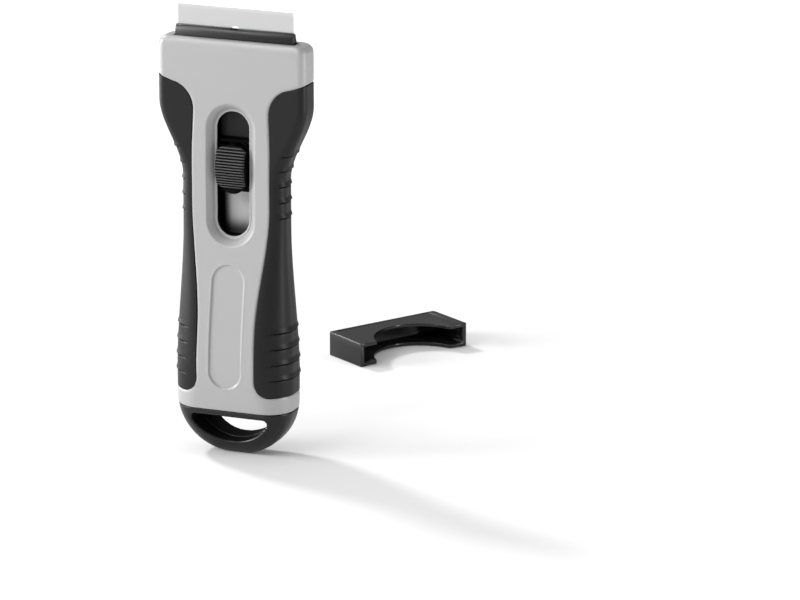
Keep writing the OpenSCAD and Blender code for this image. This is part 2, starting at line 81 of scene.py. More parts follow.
# Rooms inside the shells
JAW_ROOM = [(-16.1, 101.9), (16.1, 101.9), (20.6, 109.4), (20.6, 136), (-20.6, 136), (-20.6, 109.4)]
JAW_ROOM_T = 1.97
CHANNEL = [(-9.2, 70.6), (9.2, 70.6), (9.2, 112.5), (-9.2, 112.5)]
CHANNEL_FRONT, CHANNEL_FLOOR = -1.75, 3.25
STRIP_FLOOR = 3.3
# Box just outside the channel, to tell its faces from the others
ROOM_HALF, ROOM_LO, ROOM_HI, ROOM_FRONT = 9.3, 70.4, 112.7, -1.8
STRIP = ((5.7, 70.75), (9.05, 70.75), (9.05, 112.35), (5.7, 112.35))
SCREWS = ((-7.4, 58.1), (7.4, 58.1), (0, 30.9))
SCREW_HOLE_R, SCREW_HOLE_DEPTH = 2.7, 3.0

# Hanging hole of the end cap
HOLE_R, HOLE_CORNER_R, HOLE_Z, HOLE_TOP = 15.0, 1.0, 20.0, 13.1
HOLE_SET_BACK, HOLE_FRONT_R, HOLE_BACK_R, HOLE_WALL = 0.35, 0.9, 0.7, 1.6

# Thumb button
BUTTON_Z, BUTTON_REACH, BUTTON_HALF, BUTTON_END_R = 93.6, 6.8, 5.0, 7.4
BUTTON_TOP, BUTTON_CROWN, BUTTON_FOOT = 6.1, 2.3, 3.6
RIDGES, RIDGE_HEIGHT, RIDGE_HALF = 15, 0.5, 0.36
BUTTON_EDGE, BUTTON_EDGE_DROP = 0.5, 0.4
STEM = (4.6, 85.0, 100.8)
STEM_FRONT, STEM_BACK = -3.9, -0.75
FLANGE = [(-6.4, 86.6), (6.4, 86.6), (6.4, 100.2), (-6.4, 100.2)]
FLANGE_FRONT, FLANGE_BACK = -1.5, -0.7

# Soft grips
GRIP_LO = 21.0
GRIP_ARC_Z = 111.5
GRIP_TOP_R = 8.8
GRIP_END_R = 5.3
GRIP_SINK, GRIP_SINK_REACH = 0.36, 0.75
GRIP_TOP_SLOPE = 0.335
RIB_PITCH = 5.05
RIB_LEVELS = [99.2 - RIB_PITCH * i for i in range(5)] + [42.5 - RIB_PITCH * i for i in range(4)]
RIB_LENGTH, RIB_EDGE, RIB_HEIGHT = 1.5, 0.14, 0.45
GROOVE_BELOW, GROOVE_WIDTH, GROOVE_DEPTH = 0.52, 0.2, 0.4
GRIP_ROWS, GRIP_COLS, GRIP_SPAN = 760, 102, 43.0
GRIP_ROW_STEP, GRIP_LIFT = 0.14, 0.03
# The last is the width in millimetres along the grip's border that gets painted shade
GRIP_BORDER, GRIP_BORDER_DROP, GRIP_PAINTED_SHADE_BORDER = 0.6, 0.48, 0.3

# Materials: depth of the grain and heights of the ground edge in metres, sockets of the Mix node
GRAIN_DEPTH = 0.0001
STEEL = (0.76, 0.76, 0.765)
GROUND_FROM, GROUND_TO = 0.1428, 0.1430
MIX_A, MIX_B, MIX_OUT = 6, 7, 2
WHITE = (1, 1, 1, 1)

# Stage, in metres. Area lights: name, place, aim, width and height, watts, and whether they light
# surfaces or, like the last one on the flank of the left grip, are seen only in reflections
FLOOR_HALF, FLOOR_Z = 6, -0.0001
GLOW_FROM, GLOW_TO, GLOW_RISE = 0.22, 0.75, 0.35
SUN_ANGLE = 9.5
AREAS = (
    ("front", (-0.55, -1.13, 0.92), (0, 0, 0.1), (0.7, 0.5), 6, True),
    ("left", (-1.31, -0.61, 0.45), (0, 0, 0.07), (0.7, 0.5), 18, True),
    ("edge", (0.49, 0.03, 0.15), (0, 0, 0.11), (0.05, 0.3), 0.9, True),
    ("glint", (-0.34, 0.02, 0.05), (0, 0, 0.08), (0.4, 0.09), 0.4, False),
)


def ease(a, b, t):
    """Smooth step from 0 to 1 while t runs from a to b."""
    s = np.clip((np.asarray(t, float) - a) / (b - a), 0, 1)
    return s * s * (3 - 2 * s)


def dome(h, z):
    """Share of the full size at height z, for a round end of height h."""
    return np.sqrt(np.clip(1 - (np.clip(h - z, 0, None) / (h + 0.4)) ** 2, 0, 1))


def round_in(z, h, most):
    """Inset of the rounded mouth, over its last h."""
    t = np.clip((z - MOUTH_Z + h) / h, 0, 1)
    return most * (1 - np.sqrt(1 - t * t))


def half_w(z):
    z = np.asarray(z, float)
    size = (BASE_HALF_W - WAIST_LOSS_W * ease(WAIST_W_LO, WAIST_W_HI, z)
            + HEAD_GAIN_W * ease(SHOULDER_LO, SHOULDER_HI, z))
    return dome(DOME_W, z) * size - round_in(z, MOUTH_ROUND_W, MOUTH_ROUND_W)


def half_t(z):
    z = np.asarray(z, float)
    size = (BASE_HALF_T - WAIST_LOSS_T * ease(WAIST_T_LO, WAIST_T_HI, z)
            - HEAD_LOSS_T * ease(SHOULDER_LO, SHOULDER_HI, z))
    return dome(DOME_T, z) * size - round_in(z, MOUTH_ROUND_T, MOUTH_DROP_T)


def corner_r(z):
    """Radius of the rounded sides between the flat of the side and the face."""
    flat = 1.2 + 1.2 * ease(SHOULDER_LO, SHOULDER_HI, z)
    t = half_t(z)
    return np.minimum(np.maximum(t - flat, 0.5 * t), 0.9 * half_w(z))


def grip_edge(z):
    """Distance of the grip's long edge from the middle of the face."""
    return 9.7 + 3.5 * ease(42, 82, z) - 0.5 * ease(98, 112, z)


def stadium(half, lo, hi, n=40):
    """Outline of an upright slot with round ends, in X and Z."""
    a = np.linspace(0, math.pi, n)
    top = np.c_[half * np.cos(a), hi - half + half * np.sin(a)]
    low = np.c_[-half * np.cos(a), lo + half - half * np.sin(a)]
    return np.r_[top, low]


def outline_distance(x, z, line):
    """Signed distance from each point to a closed outline, positive outside."""
    p = np.c_[np.ravel(x), np.ravel(z)]
    best = np.full(len(p), 1e9)
    inside = np.zeros(len(p), bool)
    for a, b in zip(line, np.roll(line, -1, 0)):
        d = b - a
        t = np.clip(((p - a) @ d) / max(d @ d, 1e-12), 0, 1)
        best = np.minimum(best, np.linalg.norm(p - a - t[:, None] * d, axis=1))
        cross = (a[1] > p[:, 1]) != (b[1] > p[:, 1])
        with np.errstate(divide="ignore", invalid="ignore"):
            side = p[:, 0] < (b[0] - a[0]) * (p[:, 1] - a[1]) / (b[1] - a[1]) + a[0]
        inside ^= cross & side
    return np.where(inside, -best, best).reshape(np.shape(x))


def new_mesh(name, points, faces):
    mesh = bpy.data.meshes.new(name)
    mesh.from_pydata([tuple(p) for p in np.asarray(points, float) * MM], [], faces)
    return mesh


def face_centres(obj):
    """Centres of the faces, in millimetres."""
    return np.array([tuple(f.center) for f in obj.data.polygons]) / MM


def make_object(name, points, faces, body, material, smooth=True, sharp=35):
    mesh = new_mesh(name, points, faces)
    mesh.validate()
    obj = bpy.data.objects.new(name, mesh)
    bpy.context.scene.collection.objects.link(obj)
    finish_mesh(obj, material, smooth, sharp)
    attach(obj, body)
    return obj


def face_outward(mesh):
    bm = bmesh.new()
    bm.from_mesh(mesh)
    bmesh.ops.recalc_face_normals(bm, faces=bm.faces)
    bm.to_mesh(mesh)
    bm.free()


def apply_modifiers(obj):
    """Gives the object the mesh that its modifiers make."""
    graph = bpy.context.evaluated_depsgraph_get()
    made = bpy.data.meshes.new_from_object(obj.evaluated_get(graph))
    obj.modifiers.clear()
    obj.data = made


def finish_mesh(obj, material, smooth=True, sharp=35):
    """Outward normals, one material, and hard edges above an angle in degrees."""
    face_outward(obj.data)
    obj.data.materials.clear()
    obj.data.materials.append(material)
    obj.data.polygons.foreach_set("use_smooth", [smooth] * len(obj.data.polygons))
    obj.data.set_sharp_from_angle(angle=math.radians(sharp))
    obj.data.update()


def grid_faces(rows, cols, wrap=False):
    """Quads of a grid of points, row after row, closed round when wrap is set."""
    out = []
    last = cols if wrap else cols - 1
    for r in range(rows - 1):
        for c in range(last):
            a, b = r * cols + c, r * cols + (c + 1) % cols
            out.append((a, b, b + cols, a + cols))
    return out


def prism(outline, y0, y1):
    """Closed prism along Y from an outline in X and Z: (points, faces)."""
    n = len(outline)
    pts = [(x, y0, z) for x, z in outline] + [(x, y1, z) for x, z in outline]
    faces = [tuple(range(n)), tuple(range(2 * n - 1, n - 1, -1))]
    faces += [(i, i + n, (i + 1) % n + n, (i + 1) % n) for i in range(n)]
    return pts, faces


def cut(obj, points, faces):
    """Takes a closed shape out of a mesh, for good."""
    mesh = new_mesh("cutter", points, faces)
    tool = bpy.data.objects.new("cutter", mesh)
    bpy.context.scene.collection.objects.link(tool)
    face_outward(mesh)
    mod = obj.modifiers.new("cut", "BOOLEAN")
    mod.object, mod.operation, mod.solver = tool, "DIFFERENCE", "EXACT"
    apply_modifiers(obj)
    bpy.data.objects.remove(tool)
    bpy.data.meshes.remove(mesh)


def half_ring(z, n_flat=8, n_arc=16, n_face=150):
    """Half ring of the housing with its normals, from the right side over a face to the left."""
    w, t, r = half_w(z), half_t(z), corner_r(z)
    flat = np.r_[0, 0.06, 0.14, np.linspace(0.3, 1, n_flat - 3)]
    y = flat * (t - r)
    a = np.linspace(0, math.pi / 2, n_arc)[1:]
    xs = np.r_[np.full(n_flat, w), w - r + r * np.cos(a)]
    ys = np.r_[y, t - r + r * np.sin(a)]
    face = np.linspace(w - r, -(w - r), n_face)[1:-1]
    nx = np.r_[np.ones(n_flat), np.cos(a)]
    ny = np.r_[np.zeros(n_flat), np.sin(a)]
    return (np.r_[xs, face, -xs[::-1]], np.r_[ys, np.full(n_face - 2, t), ys[::-1]],
            np.r_[nx, np.zeros(n_face - 2), -nx[::-1]],
            np.r_[ny, np.ones(n_face - 2), ny[::-1]])


def end_inset(past, r):
    """Inset of a rounded end at the distance past its start, 0 before it."""
    if past <= 0:
        return 0.0
    return END_INSET * (1 - math.sqrt(max(0.0, 1 - (past / r) ** 2)))


def seam_groove(x, y, w):
    """Draws the side edges in a little, so that the two shells meet in a fine line."""
    near = np.clip(1 - np.abs(y) / 0.14, 0, 1)
    return x * (1 - 0.11 * near / w)


def shell_rows():
    """Heights of the shell's rings, closer together at its rounded ends."""
    low = SEAM_Z + SEAM_ROUND * (1 - np.cos(np.linspace(0, math.pi / 2, 5)))
    mid = np.arange(SEAM_Z + 0.6, MOUTH_Z - MOUTH_ROUND_T, 0.28)
    top = MOUTH_Z - MOUTH_ROUND_T + MOUTH_ROUND_T * np.sin(np.linspace(0, math.pi / 2, 16))
    return np.r_[low, mid, top]


def dish_depth(q):
    """Depth of the dished rim below the flat face, by distance from the slot."""
    lip = LIP_DROP * (1 - np.sqrt(np.clip(1 - (1 - q / LIP_REACH) ** 2, 0, 1))) * (q < LIP_REACH)
    return np.interp(q, DISH_REACH, DISH_DEPTH) + lip


def grip_outline():
    """Closed outline of the right grip from the front, carried out past the housing's side."""
    low = low_arc(np.radians(np.arange(90, 45, -5)))
    top = top_arc(np.radians(np.arange(52, 81, 4)))
    past_side = [[29, GRIP_ARC_Z + GRIP_TOP_R + 2.9], [29, GRIP_LO]]
    return np.r_[low, grip_side(80), top, past_side]


def shell_points(front):
    parts = []
    for z in shell_rows():
        x, y, nx, ny = half_ring(z)
        inset = end_inset(SEAM_Z + SEAM_ROUND - z, SEAM_ROUND)
        w, t = float(half_w(z)), float(half_t(z))
        x = seam_groove(x, y, w) * (1 - inset / w)
        y = y * (1 - inset / t)
        parts.append(np.c_[x, y, np.full(len(x), z), nx, ny])
    parts = np.array(parts)
    x, y, z, nx, ny = (parts[..., i].copy() for i in range(5))
    near = outline_distance(np.abs(x), z, grip_outline())
    turn = np.clip(1 - near / GRIP_SINK_REACH, 0, 1)
    sink = GRIP_SINK * (1 - np.sqrt(1 - turn ** 2)) * np.clip((MOUTH_Z - 6 - z) / 4, 0, 1)
    x -= nx * sink
    y -= ny * sink * (y > 0.3)
    if front:
        q = outline_distance(x, z, stadium(SLOT_HALF, SLOT_LO, SLOT_HI))
        y -= np.where(y > FACE_Y, dish_depth(np.clip(q, 0, None)), 0)
        d = outline_distance(x, z, stadium(PANEL_HALF, PANEL_LO, PANEL_HI))
        panel = PANEL_DEPTH * ease(0.22, -0.22, d) - PANEL_RIM * np.exp(-((d - 0.45) / 0.25) ** 2)
        y -= np.where(y > FACE_Y, panel, 0)
        y *= -1
    return np.stack([x, y, z], -1)


def paint_shade_inside(obj, dark, inner):
    """Paints shade on the walls of slot and channel and on the strips beside the channel's floor
    with the near-black material, and gives the channel's floor its own material with painted shade.
    """
    obj.data.materials.append(dark)
    obj.data.materials.append(inner)
    at = face_centres(obj)
    slot = outline_distance(at[:, 0], at[:, 2], stadium(SLOT_HALF, SLOT_LO, SLOT_HI))
    for f, (x, y, z), q in zip(obj.data.polygons, at, slot):
        in_room = (abs(x) < ROOM_HALF and ROOM_LO < z < ROOM_HI
                   and ROOM_FRONT < y < STRIP_FLOOR)
        room_wall = in_room and (abs(f.normal.y) < 0.6 or (y < 0 and f.normal.y > 0))
        strip = in_room and y > STRIP_FLOOR - 0.03
        slot_wall = abs(q) < 0.05 and abs(f.normal.y) < 0.4 and y < 0
        # Painted shade: near-black faces where the slot's walls and the channel lie in shade
        if room_wall or strip or slot_wall:
            f.material_index = 1
            f.use_smooth = False
        elif in_room and y > CHANNEL_FLOOR - 0.05:
            f.material_index = 2


def build_shell(front, material, painted_shade, inner):
    """One shell as a closed moulding, with its rooms cut out."""
    pts = shell_points(front)
    rows, cols = pts.shape[:2]
    faces = grid_faces(rows, cols)
    faces.append(tuple(range(cols)))
    faces.append(tuple((rows - 1) * cols + c for c in range(cols)))
    for r in range(rows - 1):
        faces.append((r * cols, (r + 1) * cols, (r + 2) * cols - 1, (r + 1) * cols - 1))
    name = "front_moulding" if front else "back_moulding"
    obj = make_object(name, pts.reshape(-1, 3), faces, "handle", material)
    if front:
        cut(obj, *prism(JAW_ROOM, -JAW_ROOM_T, 0.5))
        cut(obj, *prism(CHANNEL, CHANNEL_FRONT, 0.6))
        cut(obj, *prism(stadium(SLOT_HALF, SLOT_LO, SLOT_HI), -12, -1.2))
        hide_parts("front_shell")
    else:
        cut(obj, *prism(JAW_ROOM, -0.5, JAW_ROOM_T))
        cut(obj, *prism(CHANNEL, -0.6, CHANNEL_FLOOR))
        for side in (-1, 1):
            cut(obj, *prism([(side * x, z) for x, z in STRIP], 3.0, STRIP_FLOOR))
        for x, z in SCREWS:
            a = np.linspace(0, 2 * math.pi, 40, endpoint=False)
            hole = np.c_[x + SCREW_HOLE_R * np.cos(a), z + SCREW_HOLE_R * np.sin(a)]
            cut(obj, *prism(hole, float(half_t(z)) - SCREW_HOLE_DEPTH, 14))
        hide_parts("back_shell")
    finish_mesh(obj, material)
    paint_shade_inside(obj, painted_shade, inner)
    return obj


def ring_place(p, z):
    """Point and outward normal on the right half, at p round the ring from the side's middle."""
    w, t, r = half_w(z), half_t(z), corner_r(z)
    s, flat = np.sign(p), t - r
    a = np.clip((np.abs(p) - flat) / r, 0, math.pi / 2)
    run = np.clip(np.abs(p) - flat - r * math.pi / 2, 0, None)
    x = w - r + r * np.cos(a) - run
    y = s * (np.minimum(np.abs(p), flat) + r * np.sin(a))
    return x, y, np.cos(a), s * np.sin(a)


def ring_distance(x, z):
    """Distance round the ring from the side's middle to the face point at x."""
    w, t, r = half_w(z), half_t(z), corner_r(z)
    a = np.arccos(np.clip((x - w + r) / r, 0, 1))
    return t - r + r * a + np.clip(w - r - x, 0, None)


def low_arc(a):
    """Low corner of the grip, from its long edge at angle 0 round to its foot."""
    x = float(grip_edge(GRIP_LO + GRIP_END_R))
    return np.c_[x + GRIP_END_R * (1 - np.cos(a)), GRIP_LO + GRIP_END_R * (1 - np.sin(a))]


def top_arc(a):
    """Top corner of the grip, from its long edge at angle 0 over to its top."""
    x = float(grip_edge(GRIP_ARC_Z))
    return np.c_[x + GRIP_TOP_R * (1 - np.cos(a)), GRIP_ARC_Z + GRIP_TOP_R * np.sin(a)]


def grip_side(n):
    """Long edge of the grip, from the middle of its low corner to the middle of its top corner."""
    zs = np.linspace(GRIP_LO + GRIP_END_R, GRIP_ARC_Z, 90)[1:-1]
    line = np.r_[low_arc(np.linspace(math.pi / 4, 0, 12)), np.c_[grip_edge(zs), zs],
                 top_arc(np.linspace(0, math.radians(50), 14))]
    step = np.r_[0, np.cumsum(np.linalg.norm(np.diff(line, axis=0), axis=1))]
    at = np.linspace(0, step[-1], n)
    return np.c_[np.interp(at, step, line[:, 0]), np.interp(at, step, line[:, 1])]


def grip_end(top, share):
    """Low or top edge of the grip, from the front corner's middle round the side to the back."""
    if top:
        line = top_arc(np.linspace(math.radians(50), math.radians(80), 10))
        reach = np.linspace(line[-1, 0], 24.9, 40)[1:]
        line = np.r_[line, np.c_[reach, line[-1, 1] + (reach - line[-1, 0]) * GRIP_TOP_SLOPE]]
    else:
        line = low_arc(np.linspace(math.pi / 4, math.pi / 2, 12))
        reach = np.linspace(line[-1, 0], 19.5, 20)[1:]
        line = np.r_[line, np.c_[reach, np.full(19, GRIP_LO)]]
    p = -ring_distance(line[:, 0], line[:, 1])
    keep = np.r_[True, np.diff(p) > 1e-4]
    p, z = p[keep], line[keep, 1]
    p = np.r_[p, 0, -p[::-1]]
    z = np.r_[z, z[-1], z[::-1]]
    step = np.r_[0, np.cumsum(np.hypot(np.diff(p), np.diff(z)))]
    at = share * step[-1]
    return np.interp(at, step, p), np.interp(at, step, z)


def rib_height(z):
    """Short wedges that end in a sharp edge below."""
    out = np.zeros_like(z)
    for level in RIB_LEVELS:
        d = z - (level - 0.4)
        rise = np.clip(1 - d / RIB_LENGTH, 0, 1)
        out = np.maximum(out, np.where(d > 0, rise, np.clip(1 + d / RIB_EDGE, 0, 1)))
    return out


def rib_groove(z):
    """Fine grooves under the ribs."""
    out = np.zeros_like(z)
    for level in RIB_LEVELS:
        out = np.maximum(out, np.exp(-((z - level + GROOVE_BELOW) / GROOVE_WIDTH) ** 2))
    return out


def build_grip(side, material, dark):
    """Ribbed soft grip, with painted shade, a near-black material, in its grooves and along its
    border.
    """
    rim = np.array([0, 0.13, 0.26, 0.4, 0.6]) / GRIP_SPAN
    inner = np.linspace(0.85 / GRIP_SPAN, 1 - 0.85 / GRIP_SPAN, GRIP_COLS - 2 * len(rim))
    share = np.r_[rim, inner, 1 - rim[::-1]]
    s = share[None, :]
    t = np.linspace(0, 1, GRIP_ROWS)[:, None]
    edge = grip_side(GRIP_ROWS)
    pf, zf = -ring_distance(edge[:, 0], edge[:, 1])[:, None], edge[:, 1][:, None]
    pb, zb = grip_end(False, share)
    pt, zt = grip_end(True, share)

    def corners(lo, hi):
        low = (1 - s) * (1 - t) * lo[0] + s * (1 - t) * lo[-1]
        return low + (1 - s) * t * hi[0] + s * t * hi[-1]

    # A patch between the four edges, then the lift over the housing
    p = (1 - s) * pf - s * pf + (1 - t) * pb[None, :] + t * pt[None, :] - corners(pb, pt)
    z = zf + (1 - t) * zb[None, :] + t * zt[None, :] - corners(zb, zt)
    x, y, nx, ny = ring_place(p, z)
    across = (x - grip_edge(z)) / (half_w(z) - grip_edge(z))
    at_waist = z > 70
    groove = rib_groove(z) * np.where(at_waist, ease(0.42, 0.92, across), ease(0.25, 0.85, across))
    lift = GRIP_LIFT + RIB_HEIGHT * rib_height(z) * ease(0.45, 1.0, across) - GROOVE_DEPTH * groove
    row = np.arange(GRIP_ROWS)
    border = np.minimum(np.minimum(s, 1 - s) * GRIP_SPAN,
                        np.minimum(row, row[::-1])[:, None] * GRIP_ROW_STEP)
    fall = np.clip(1 - border / GRIP_BORDER, 0, 1)
    lift = lift - GRIP_BORDER_DROP * (1 - np.sqrt(1 - fall ** 2))
    pts = np.stack([side * (x + nx * lift), y + ny * lift, z], -1).reshape(-1, 3)
    name = "grip_skin_right" if side > 0 else "grip_skin_left"
    obj = make_object(name, pts, grid_faces(GRIP_ROWS, GRIP_COLS), "handle", material)
    orient_outward(obj, side)
    # Painted shade: the grooves and the border of the grip get the near-black material
    in_groove = (groove[:-1, :-1] + groove[1:, 1:]) / 2 > 0.42
    at_border = np.maximum(border[:-1, :-1], border[1:, 1:]) < GRIP_PAINTED_SHADE_BORDER
    obj.data.materials.append(dark)
    is_dark = (in_groove | at_border).ravel().astype(np.int32)
    obj.data.polygons.foreach_set("material_index", is_dark)
    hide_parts("grip_right" if side > 0 else "grip_left")
    return obj


def orient_outward(obj, side):
    """Turns an open patch so that its outermost face looks to its own side."""
    mesh = obj.data
    mid = max(mesh.polygons, key=lambda f: side * f.center.x)
    if mid.normal.x * side < 0:
        mesh.flip_normals()


def hole_outline():
    """Outline of the hanging hole: a circle with a flat top and small rounded corners."""
    r, c, arc_z, top = HOLE_R, HOLE_CORNER_R, HOLE_Z, HOLE_TOP
    corner_z = top - c
    corner_x = math.sqrt((r - c) ** 2 - (arc_z - corner_z) ** 2)
    start = math.atan2(corner_z - arc_z, corner_x)
    low = np.linspace(-math.pi - start, start, 110)
    a = np.linspace(start, math.pi / 2, 12)
    right = np.c_[corner_x + c * np.cos(a), corner_z + c * np.sin(a)]
    left = np.c_[-right[::-1, 0], right[::-1, 1]]
    return np.r_[np.c_[r * np.cos(low), arc_z + r * np.sin(low)], right[1:], left[:-1]]


def grown(line, by):
    """Outline moved outward, for one that runs counter-clockwise."""
    run = np.roll(line, -1, 0) - np.roll(line, 1, 0)
    run /= np.linalg.norm(run, axis=1)[:, None]
    return line + by * np.c_[run[:, 1], -run[:, 0]]


def lip_round(d, r):
    """Drop of a rounded edge at distance d from a cut."""
    e = np.clip(r - d, 0, r)
    return r - np.sqrt(r * r - e * e)


def build_cap(material, inside):
    """End cap with its hanging hole, whose front edge is set back a little, and painted shade, a
    near-black material, on the hole's wall.
    """
    rows = np.r_[CAP_TOP * (1 - np.cos(np.linspace(0, math.pi / 2 * 0.985, 80))),
                 CAP_TOP - CAP_ROUND + CAP_ROUND * np.sin(np.linspace(0.2, math.pi / 2, 6))]
    rows = np.unique(np.round(rows, 4))
    outline = hole_outline()
    pts = []
    for z in rows:
        x, y, _, _ = half_ring(z, 8, 20, 130)
        inset = end_inset(z - (CAP_TOP - CAP_ROUND), CAP_ROUND)
        x, y = x * (1 - inset / float(half_w(z))), y * (1 - inset / float(half_t(z)))
        level = np.full(len(x), z)
        d = outline_distance(x, level, outline)
        room = np.clip(y - HOLE_WALL, 0, None)
        front = y - np.minimum(lip_round(np.clip(d - HOLE_SET_BACK, 0, None), HOLE_FRONT_R), room)
        back = y - np.minimum(lip_round(np.clip(d, 0, None), HOLE_BACK_R), room)
        pts.append(np.r_[np.c_[x, -front, level], np.c_[x[::-1], back[::-1], level][1:-1]])
    cols = len(pts[0])
    faces = grid_faces(len(rows), cols, wrap=True)
    faces += [tuple(range(cols)), tuple((len(rows) - 1) * cols + c for c in range(cols))]
    obj = make_object("cap_moulding", np.concatenate(pts), faces, "handle", material)
    cut(obj, *prism(outline, -14, 14))
    cut(obj, *prism(grown(outline, HOLE_SET_BACK), -14, -1))
    finish_mesh(obj, material)
    obj.data.materials.append(inside)
    at = face_centres(obj)
    off = np.abs(outline_distance(at[:, 0], at[:, 2], outline))
    # Painted shade: the wall of the hanging hole gets the near-black material
    for f, d in zip(obj.data.polygons, off):
        if d < HOLE_SET_BACK + 0.1 and abs(f.normal.y) < 0.4:
            f.material_index = 1
            f.use_smooth = False
    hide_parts("end_cap")
    return obj


def build_button(material, dark):
    """Crowned, ridged pad on a stem with a flange, with painted shade, a near-black material, in
    its grooves, on its sides and underside, and on all of stem and flange.
    """
    pitch = 2 * BUTTON_REACH / RIDGES
    zs = np.linspace(-BUTTON_REACH + 0.01, BUTTON_REACH - 0.01, RIDGES * 16)
    cols = 33
    pts = []
    for z in zs:
        w = min(BUTTON_HALF, math.sqrt(BUTTON_END_R ** 2 - z * z))
        u = np.sin(np.linspace(-math.pi / 2, math.pi / 2, cols)) * w
        phase = ((z + BUTTON_REACH) / pitch) % 1
        ridge = RIDGE_HEIGHT * math.sqrt(max(0.0, 1 - ((phase - 0.5) / RIDGE_HALF) ** 2))
        top = BUTTON_TOP - BUTTON_CROWN * (z / BUTTON_REACH) ** 2 + ridge
        edge = np.clip(1 - (w - np.abs(u)) / BUTTON_EDGE, 0, 1)
        y = np.maximum(top - BUTTON_EDGE_DROP * (1 - np.sqrt(1 - edge ** 2)), BUTTON_FOOT + 0.02)
        pts.append(np.c_[u, -y, np.full(cols, BUTTON_Z + z)])
    top = np.array(pts)
    rim = top.copy()
    rim[..., 1] = -BUTTON_FOOT
    n = len(zs)
    faces = grid_faces(n, cols)
    faces += [tuple(v + n * cols for v in f) for f in faces]
    loop = [(0, c) for c in range(cols)] + [(r, cols - 1) for r in range(1, n)]
    loop += [(n - 1, c) for c in range(cols - 2, -1, -1)] + [(r, 0) for r in range(n - 2, 0, -1)]
    ids = [r * cols + c for r, c in loop]
    for a, b in zip(ids, ids[1:] + ids[:1]):
        faces.append((a, b, b + n * cols, a + n * cols))
    points = np.r_[top.reshape(-1, 3), rim.reshape(-1, 3)]
    pad = make_object("button_pad", points, faces, "button", material, sharp=50)
    # Painted shade: the pad's grooves, sides and underside get the near-black material
    phase = (((zs[:-1] + zs[1:]) / 2 + BUTTON_REACH) / pitch) % 1
    low = np.repeat(np.abs(phase - 0.5) > 0.34, cols - 1)
    index = np.ones(len(pad.data.polygons), np.int32)
    index[:len(low)] = low
    pad.data.materials.append(dark)
    pad.data.polygons.foreach_set("material_index", index)
    # Stem and flange are wholly in the near-black material of painted shade
    stem = make_object("button_stem", *prism(stadium(*STEM), STEM_FRONT, STEM_BACK), "button", dark)
    soften(stem, 0.35)
    flange = prism(FLANGE, FLANGE_FRONT, FLANGE_BACK)
    make_object("button_flange", *flange, "button", dark, smooth=False)
    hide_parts("thumb_button")
    return pad


def soften(obj, width, segments=3, angle=30):
    """Rounds the edges of a plain moulding."""
    mod = obj.modifiers.new("edges", "BEVEL")
    mod.width, mod.segments = width * MM, segments
    mod.limit_method, mod.angle_limit = "ANGLE", math.radians(angle)
    apply_modifiers(obj)
    finish_mesh(obj, obj.data.materials[0], sharp=50)


def softened_node(node, name, body, material, width):
    """New piece from a CAD node's shape with merged flats and rounded edges."""
    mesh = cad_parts[node].data.copy()
    obj = bpy.data.objects.new(name, mesh)
    bpy.context.scene.collection.objects.link(obj)
    bm = bmesh.new()
    bm.from_mesh(mesh)
    bmesh.ops.remove_doubles(bm, verts=bm.verts, dist=2e-6)
    bmesh.ops.dissolve_limit(bm, angle_limit=math.radians(0.5), verts=bm.verts, edges=bm.edges)
    bm.to_mesh(mesh)
    bm.free()
    mesh.materials.clear()
    mesh.materials.append(material)
    soften(obj, width, 2)
    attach(obj, body)
    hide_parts(node)
    return obj


def add_node(tree, kind, **values):
    """New shader node with some inputs set; the inputs' names have underscores for spaces."""
    node = tree.nodes.new("ShaderNode" + kind)
    for key, value in values.items():
        node.inputs[key.replace("_", " ")].default_value = value
    return node


def wire(tree, *pairs):
    for source, target in pairs:
        tree.links.new(source, target)


def grey(level):
    return (level,) * 3


def new_material(name, base, rough, metallic=0.0, grain=0.1, grain_scale=1500, edge=0.0,
                 mottle=0.05, spec=0.5):
    """Fine-grained surface. Edge rounds its edges in millimetres, mottle varies its roughness."""
    mat = bpy.data.materials.new(name)
    mat.use_nodes = True
    tree = mat.node_tree
    shader = tree.nodes["Principled BSDF"]
    shader.inputs["Base Color"].default_value = (*base, 1)
    shader.inputs["Roughness"].default_value = rough
    shader.inputs["Metallic"].default_value = metallic
    shader.inputs["Specular IOR Level"].default_value = spec
    place = add_node(tree, "TexCoord")
    if mottle:
        noise = add_node(tree, "TexNoise", Scale=60, Detail=6)
        spread = add_node(tree, "MapRange", To_Min=rough - mottle, To_Max=rough + mottle)
        wire(tree, (place.outputs["Object"], noise.inputs["Vector"]),
             (noise.outputs["Fac"], spread.inputs["Value"]),
             (spread.outputs["Result"], shader.inputs["Roughness"]))
    speckle = add_node(tree, "TexNoise", Scale=grain_scale, Detail=3)
    bump = add_node(tree, "Bump", Strength=grain, Distance=GRAIN_DEPTH)
    wire(tree, (place.outputs["Object"], speckle.inputs["Vector"]),
         (speckle.outputs["Fac"], bump.inputs["Height"]),
         (bump.outputs["Normal"], shader.inputs["Normal"]))
    if edge:
        bevel = add_node(tree, "Bevel", Radius=edge * MM)
        bevel.samples = 6
        wire(tree, (bevel.outputs["Normal"], bump.inputs["Normal"]))
    return mat


def mix_colours(tree, mask, first, second):
    """Base colour that runs from the first to the second with the mask."""
    mix = add_node(tree, "Mix")
    mix.data_type = "RGBA"
    mix.inputs[MIX_A].default_value = (*first, 1)
    mix.inputs[MIX_B].default_value = (*second, 1)
    wire(tree, (mask, mix.inputs[0]),
         (mix.outputs[MIX_OUT], tree.nodes["Principled BSDF"].inputs["Base Color"]))


